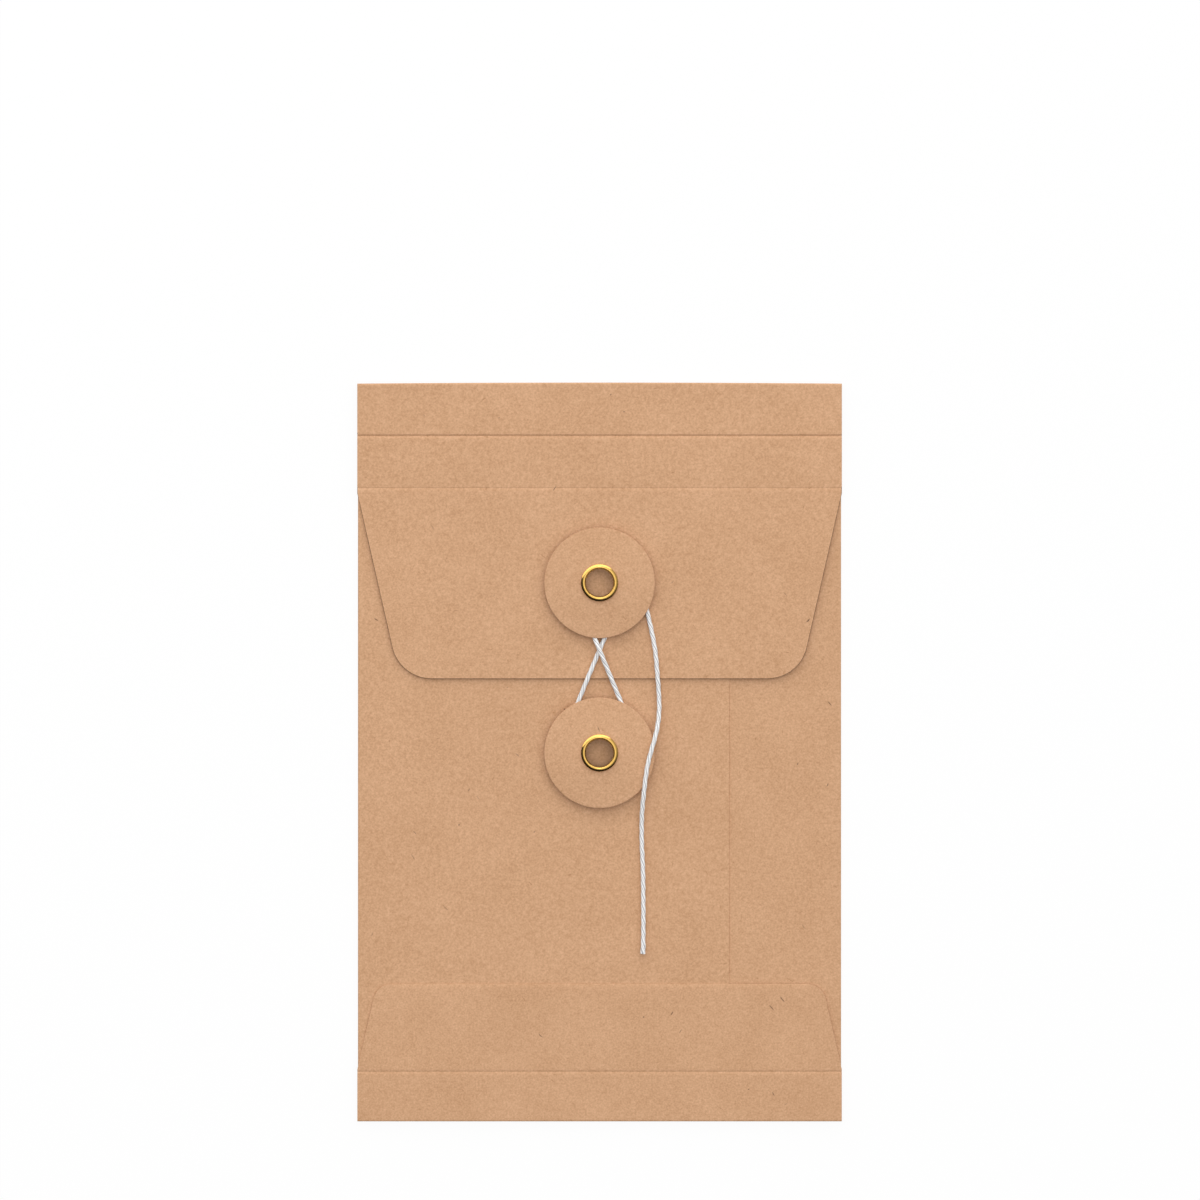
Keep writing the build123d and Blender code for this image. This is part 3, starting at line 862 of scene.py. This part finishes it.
# Section of a folded edge, squarer than a circle where the fold is pressed flat
def arcSection(centre, radii, angles, count, squareness=2.0):
    turns = spread(*angles, abs(angles[1] - angles[0]) / count)

    def ring(radius):
        for a in turns:
            reach = radius / (abs(math.cos(a)) ** squareness + abs(math.sin(a)) ** squareness) ** (1 / squareness)
            yield (centre[0] + reach * math.cos(a), centre[1] + reach * math.sin(a))

    return list(ring(radii[1])) + list(ring(radii[0]))[::-1]


# Faces between one ring of points and the next
def ringFaces(ring, pairs):
    return [[a * ring + i, a * ring + (i + 1) % ring, b * ring + (i + 1) % ring, b * ring + i]
            for a, b in pairs for i in range(ring)]


def outwardPiece(name, vertices, faces, material, sharpAngle):
    mesh = newMesh(name, vertices, faces, material)
    work = bmesh.new()
    work.from_mesh(mesh)
    bmesh.ops.recalc_face_normals(work, faces=work.faces)
    work.to_mesh(mesh)
    work.free()
    return finishSheet(showObject(name, mesh), sharpAngle)


# section gives (across, height) pairs round the paper; along gives the stations on the fold line
def sweptFold(name, section, along, place, material):
    vertices = [place(a, s, t) for s in along for a, t in section]
    ring = len(section)
    last = (len(along) - 1) * ring
    faces = ringFaces(ring, zip(range(len(along) - 1), range(1, len(along))))
    for i in range(ring // 2 - 1):
        faces.append([i, ring - 1 - i, ring - 2 - i, i + 1])
        faces.append([last + i, last + i + 1, last + ring - 2 - i, last + ring - 1 - i])
    return outwardPiece(name, vertices, faces, material, sheetSet["foldSharpAngle"])


def crossFold(y, x, z):
    return (x, y + float(topBow(np.array([x]), np.array([y]))[0]), z)


foldSet = {"squareness": 4.5, "quarterSteps": 16}


def pressedArc(bend, radius, angles, quarters):
    return arcSection((bend, radius), (radius - paper, radius), angles, quarters * foldSet["quarterSteps"],
                      foldSet["squareness"])


topArc = pressedArc(topBend, flapTop / 2, (-math.pi / 2, math.pi / 2), 2)
topFold = sweptFold("topFold", topArc, columns, crossFold, flapPaper)
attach(topFold, "top_fold")
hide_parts("top_fold")

bottomRadius = bottomTop / 2
lowerArc = pressedArc(bottomBend, bottomRadius, (-math.pi / 2, -math.pi), 1)
upperArc = pressedArc(bottomBend, bottomRadius, (math.pi, math.pi / 2), 1)
bottomFoldRear = sweptFold("bottomFoldRear", lowerArc, columns, crossFold, bottomPaper)
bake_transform(bottomFoldRear)
bottomFoldFront = sweptFold("bottomFoldFront", upperArc, columns, crossFold, bottomPaper)
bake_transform(bottomFoldFront)
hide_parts("bottom_fold")


# Gussets: two leaves a side with a fold at the back's edge and one between them
gussetSet = {"foldSteps": 12, "foldRun": 12 * mm}


def gussetLeaf(name, node, side):
    lowX, highX, lowY = low[node].x, high[node].x, low[node].y
    edge, crease = (lowX, highX) if side < 0 else (highX, lowX)
    places = [vertex.co for vertex in frame["nodes"][node].data.vertices]
    edgeTop, creaseTop = (max(p.y for p in places if abs(p.x - x) < sheetSet["onLine"]) for x in (edge, crease))
    corners = [(edge, lowY), (crease, lowY), (crease, creaseTop), (edge, edgeTop)]
    if side > 0:
        corners.reverse()

    def placeLeaf(x, y, h):
        return np.stack([x, y, low[node].z + paper / 2 + h], axis=1)

    piece = sheetPiece(name, dividedLoop(corners, gridStep), spread(lowX, highX, gridStep),
                       rows(lowY, high[node].y), placeLeaf, backPaper)
    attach(piece, node)
    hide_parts(node)
    return creaseTop


for side, sideName in ((-1, "left"), (1, "right")):
    rear, front = f"{sideName}_rear_gusset", f"{sideName}_front_gusset"
    creaseTop = gussetLeaf(f"{sideName}RearGusset", rear, side)
    gussetLeaf(f"{sideName}FrontGusset", front, side)
    hingeGap = (low[rear].z - paper) / 2
    foldRadii = (hingeGap, hingeGap + paper)

    def upFold(x, y, z, side=side):
        return (side * x, y, z)

    edgeArc = arcSection((backHalf, paper + hingeGap), foldRadii, (-math.pi / 2, math.pi / 2), gussetSet["foldSteps"])
    edgeRun = spread(low[rear].y, topBend, gussetSet["foldRun"])
    edgeFold = sweptFold(f"{sideName}EdgeFold", edgeArc, edgeRun, upFold, backPaper)
    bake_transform(edgeFold)
    creaseX = min(abs(low[rear].x), abs(high[rear].x))
    creaseArc = arcSection((creaseX, high[rear].z + hingeGap), foldRadii, (-math.pi / 2, -math.pi * 3 / 2),
                           gussetSet["foldSteps"])
    creaseRun = spread(low[rear].y, creaseTop, gussetSet["foldRun"])
    creaseFold = sweptFold(f"{sideName}CreaseFold", creaseArc, creaseRun, upFold, backPaper)
    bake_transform(creaseFold)
print("paper sheet ready")


# Turned pieces: a profile of (radius, height) points round a vertical line
turnedSet = {"segments": 160, "sharpAngle": math.radians(50)}


def turnedPiece(name, profile, centreY, material, body, node, slot):
    segments, count = turnedSet["segments"], len(profile)
    vertices = [(x, y, z) for radius, z in profile for x, y in circleLoop(centreY, radius, segments)]
    faces = ringFaces(segments, ((i, (i + 1) % count) for i in range(count)))
    piece = outwardPiece(name, vertices, faces, material, turnedSet["sharpAngle"])
    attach(piece, body)
    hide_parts(node)
    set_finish(piece, slot)
    return piece


# Card discs, drooping a little towards the rim
discSet = {"hole": 3.5 * mm, "holeBevel": 0.1 * mm, "droop": 0.52 * mm, "droopPower": 1.2, "thinning": 0.12 * mm,
           "edgeRound": 0.12 * mm, "edgeSteps": 4, "rings": 14}
discCentre = {"upper_disc": upperDiscY, "lower_disc": lowerDiscY}


def discProfile(node, settings):
    outer, inner = high[node].x, settings["hole"]
    under, top = low[node].z, high[node].z
    rim, steps = settings["edgeRound"], settings["edgeSteps"]
    ringStep = (outer - inner) / settings["rings"]

    def drooped(radius, z):
        share = max(radius - inner, 0) / (outer - inner)
        fall = settings["droop"] + settings["thinning"] * (z - under) / (top - under)
        return (radius, z - fall * share ** settings["droopPower"])

    flatTop = [(r, top) for r in spread(inner + settings["holeBevel"], outer - rim, ringStep)]
    edge = arcPoints((outer - rim, top - rim), rim, math.pi / 2, 0, steps)[1:]
    edge += arcPoints((outer - rim, under + rim), rim, 0, -math.pi / 2, steps)
    flatUnder = [(r, under) for r in spread(outer - rim, inner, ringStep)][1:]
    return [drooped(*point) for point in flatTop + edge + flatUnder]


for discName, node in (("upperDisc", "upper_disc"), ("lowerDisc", "lower_disc")):
    turnedPiece(discName, discProfile(node, discSet), discCentre[node], discCard, node, node, "disc_card")


# Brass eyelets: a domed band over the disc that slopes to its rim, a chamfered mouth, a barrel and a clinched foot.
# drop gives the depths below the top
eyeletSet = {
    "bore": 3.15 * mm, "mouth": 3.34 * mm, "crown": (3.58 * mm, 3.85 * mm), "shoulder": 4.34 * mm, "rim": 4.36 * mm,
    "rimSlope": 0.005 * mm, "rimEdge": 0.05 * mm, "chamfer": 0.06 * mm, "chamferRun": 0.2 * mm, "cornerCuts": 4,
    "wall": 0.25 * mm, "boreShadeReach": 3.30 * mm, "seatGap": 0.02 * mm, "clinch": 4.1 * mm, "footBend": 0.1 * mm,
    "footHeight": 0.25 * mm,
    "drop": {"mouth": 0.20 * mm, "shoulder": 0.35 * mm, "chamfer": 0.50 * mm, "skirt": 0.39 * mm},
}


# Cuts a line's corners again and again, which rounds them
def roundedLine(points, times):
    for _ in range(times):
        cut = [points[0]]
        for a, b in zip(points, points[1:]):
            cut += [tuple(i + (j - i) * part for i, j in zip(a, b)) for part in (0.25, 0.75)]
        points = cut + [points[-1]]
    return points


def eyeletProfile(node, discNode, settings):
    foot, top = low[node].z, high[node].z
    bore, rim, clinch, bend = (settings[name] for name in ("bore", "rim", "clinch", "footBend"))
    barrel = bore + settings["wall"]
    seat = high[discNode].z + settings["seatGap"]
    paperLevel = foot + settings["footHeight"]
    level = {name: top - fall for name, fall in settings["drop"].items()}
    corners = [(rim, level["skirt"] - settings["rimEdge"]), (rim - settings["rimSlope"], level["skirt"]),
               (settings["shoulder"], level["shoulder"]), (settings["crown"][1], top), (settings["crown"][0], top),
               (settings["mouth"], level["mouth"]), (bore + settings["chamfer"], level["chamfer"]),
               (bore, level["chamfer"] - settings["chamferRun"])]
    outside = [(barrel, paperLevel), (barrel, seat), (rim - bend, seat)]
    inside = [(bore, foot + 2 * bend), (bore + bend, foot), (clinch - bend, foot), (clinch, foot + bend),
              (clinch, paperLevel)]
    return outside + roundedLine(corners, settings["cornerCuts"]) + inside


for eyeletName, node, disc, body in (("upperEyelet", "upper_eyelet", "upper_disc", "closing_flap"),
                                     ("lowerEyelet", "lower_eyelet", "lower_disc", "front")):
    centreY = discCentre[disc]
    eyelet = turnedPiece(eyeletName, eyeletProfile(node, disc, eyeletSet), centreY, eyeletBrass, body, node,
                         "eyelet_brass")
    # The barrel inside gets a darker, greyer brass: painted shade that deepens the shadow in the hole
    eyelet.data.materials.append(boreShadeBrass)
    for face in eyelet.data.polygons:
        face.material_index = int(math.hypot(face.center.x, face.center.y - centreY) < eyeletSet["boreShadeReach"])
for node in ("seam_glue", "bottom_flap_glue"):
    frame["nodes"][node].data.materials.clear()
    frame["nodes"][node].data.materials.append(driedGlue)
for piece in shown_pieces():
    if "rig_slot" not in piece and "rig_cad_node" not in piece:
        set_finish(piece, "brown_paper")
print("discs and eyelets ready")


# Floor, world and lamps
lightSet = {
    "lean": (0.14, 0.24, 0.96), "dome": 1.287, "horizon": 0.02, "domeEdge": 0.14,
    "floorGlow": 0.92, "floorColor": (0.96, 0.96, 0.96, 1), "floorRoughness": 0.9, "floorHalf": 4,
    "floorLevel": -0.04 * mm,
    "lamps": {"softbox": {"power": 8.6, "sides": (3.2, 0.6), "place": (-0.30, 1.0, 0.40)},
              "stripbox": {"power": 0.8, "sides": (0.16, 1.2), "place": (0.0, 0.46, 1.0)}},
}


# The floor glows for the camera and in reflections, which keeps the background white
def floorMaterial(settings):
    material, tree, shader = startMaterial("paleFloor")
    setInputs(tree, shader, Base_Color=settings["floorColor"], Roughness=settings["floorRoughness"])
    path = addNode(tree, "LightPath")
    glow = addNode(tree, "Emission", Color=(1, 1, 1, 1), Strength=1.0)
    seen = mathNode(tree, "MAXIMUM", path.outputs["Is Camera Ray"], path.outputs["Is Glossy Ray"])
    mix = addNode(tree, "MixShader")
    parts = (mathNode(tree, "MULTIPLY", seen, settings["floorGlow"]), shader.outputs[0], glow.outputs[0])
    feed(tree, mix.inputs, parts)
    setInputs(tree, tree.nodes["Material Output"], Surface=mix.outputs[0])
    return material


floorCorners = [(x * lightSet["floorHalf"], y * lightSet["floorHalf"], lightSet["floorLevel"])
                for x, y in ((-1, -1), (1, -1), (1, 1), (-1, 1))]
showObject("floor", newMesh("floor", floorCorners, [(0, 1, 2, 3)], floorMaterial(lightSet)))


# A dome that is brightest where it leans; the camera sees plain white
def makeWorld(settings):
    world = bpy.data.worlds.new("studio")
    scene.world = world
    world.use_nodes = True
    tree = world.node_tree
    coordinates = addNode(tree, "TexCoord")
    facing = addNode(tree, "VectorMath")
    facing.operation = "DOT_PRODUCT"
    feed(tree, facing.inputs, (coordinates.outputs["Generated"], Vector(settings["lean"]).normalized()))
    glow = rangeNode(tree, facing.outputs["Value"], settings["domeEdge"], 1.0, settings["horizon"], settings["dome"])
    seen = addNode(tree, "LightPath").outputs["Is Camera Ray"]
    unseen = mathNode(tree, "MULTIPLY", glow, mathNode(tree, "SUBTRACT", 1.0, seen))
    setInputs(tree, tree.nodes["Background"], Color=(1, 1, 1, 1), Strength=mathNode(tree, "ADD", seen, unseen))


makeWorld(lightSet)
for lampName, lampSet in lightSet["lamps"].items():
    light = bpy.data.lights.new(lampName, "AREA")
    light.shape = "ELLIPSE"
    light.size, light.size_y = lampSet["sides"]
    light.energy = lampSet["power"]
    lamp = showObject(lampName, light)
    lamp.location = lampSet["place"]
    lamp.rotation_euler = (-lamp.location).to_track_quat("-Z", "Y").to_euler()
scene.view_settings.view_transform = "Standard"
print("light ready")
